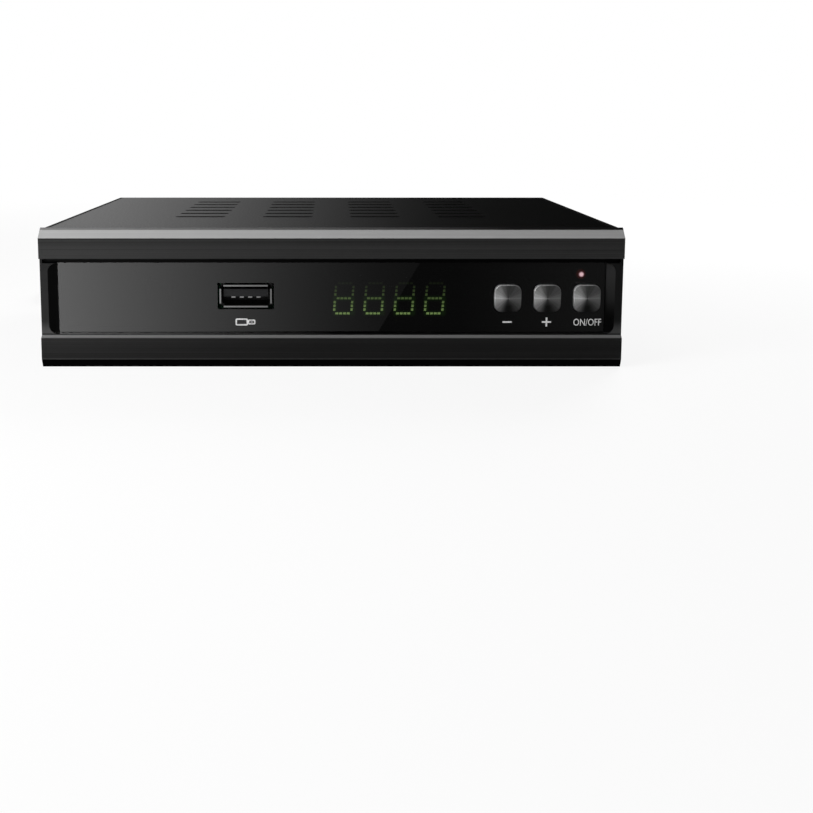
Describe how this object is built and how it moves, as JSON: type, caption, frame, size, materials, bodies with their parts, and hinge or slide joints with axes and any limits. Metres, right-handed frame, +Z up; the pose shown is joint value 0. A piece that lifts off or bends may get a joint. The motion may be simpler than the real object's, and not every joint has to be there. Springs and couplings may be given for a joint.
{
  "type": "terrestrial television receiver",
  "caption": "Low, wide television receiver box with a smoked front window, push keys, rear sockets and a fixed mains lead that is coiled behind it.",
  "frame": {"origin": "on the table under the middle of the case, halfway between its front face and the end of the coaxial jack", "axes": "+X to the right seen from the front, +Y to the back, where the sockets are, +Z up"},
  "size_m": [0.173, 0.1702, 0.035],
  "materials": {
    "cover_black": "satin",
    "tray_steel": "satin",
    "panel_white": "matte",
    "screw_black": "satin",
    "bezel_grey": "brushed",
    "window_smoke": "gloss",
    "key_metal": "spun metal",
    "black_plastic": "matte",
    "switch_grey": "satin",
    "board_green": "satin",
    "screw_steel": "satin",
    "display_grey": "matte",
    "lamp_red": "gloss",
    "shell_nickel": "satin",
    "contact_gold": "satin",
    "connector_cream": "matte",
    "pillar_brass": "satin",
    "sink_aluminium": "satin",
    "can_tin": "satin",
    "capacitor_blue": "satin",
    "insulator_grey": "matte",
    "socket_grey": "matte",
    "core_ferrite": "matte",
    "bobbin_yellow": "matte",
    "fuse_glass": "gloss",
    "wire_brown": "satin",
    "cord_black": "satin",
    "plug_black": "satin",
    "tie_white": "satin"
  },
  "bodies": {
    "case": {"top_cover": "cover_black", "base_tray": "tray_steel", "rear_panel": "panel_white", "cover_screws": "screw_black", "front_bezel": "bezel_grey", "display_lens": "window_smoke", "switch_bodies": "switch_grey", "front_board": "board_green", "front_board_screws": "screw_steel", "display_module": "display_grey", "standby_led": "lamp_red", "ir_receiver": "black_plastic", "front_usb_shell": "shell_nickel", "front_usb_tongue": "black_plastic", "front_usb_contacts": "shell_nickel", "board_connector": "connector_cream", "main_board": "board_green", "board_pillars": "pillar_brass", "board_screws": "screw_steel", "processor": "black_plastic", "heatsink": "sink_aluminium", "board_capacitors": "capacitor_blue", "tuner_can": "can_tin", "antenna_sleeve": "shell_nickel", "antenna_insulator": "insulator_grey", "antenna_contact": "shell_nickel", "coax_base": "black_plastic", "coax_barrel": "shell_nickel", "coax_insulator": "insulator_grey", "coax_contact": "shell_nickel", "rear_usb_shell": "shell_nickel", "rear_usb_tongue": "black_plastic", "rear_usb_contacts": "shell_nickel", "hdmi_shell": "shell_nickel", "hdmi_tongue": "black_plastic", "scart_shell": "socket_grey", "scart_insert": "socket_grey", "scart_contacts": "contact_gold", "transformer_core": "core_ferrite", "transformer_bobbin": "bobbin_yellow", "mains_capacitor": "capacitor_blue", "mains_fuse": "fuse_glass", "mains_connector": "connector_cream", "mains_wires": "wire_brown", "cord_bushing": "cord_black", "strain_relief": "cord_black", "mains_lead": "cord_black", "lead_coil": "cord_black", "lead_tail": "cord_black", "coil_tie": "tie_white", "plug_body": "plug_black", "plug_pins": "shell_nickel"},
    "channel_down": {"channel_down_button": "key_metal", "channel_down_plunger": "black_plastic"},
    "channel_up": {"channel_up_button": "key_metal", "channel_up_plunger": "black_plastic"},
    "power": {"power_button": "key_metal", "power_plunger": "black_plastic"}
  },
  "joints": [
    {"name": "channel_down_press", "type": "slide", "parent": "case", "child": "channel_down", "axis": [0, 1, 0], "range_m": [0, 0.0005], "stiffness_N_per_m": 1500},
    {"name": "channel_up_press", "type": "slide", "parent": "case", "child": "channel_up", "axis": [0, 1, 0], "range_m": [0, 0.0005], "stiffness_N_per_m": 1500},
    {"name": "power_press", "type": "slide", "parent": "case", "child": "power", "axis": [0, 1, 0], "range_m": [0, 0.0005], "stiffness_N_per_m": 1500}
  ]
}
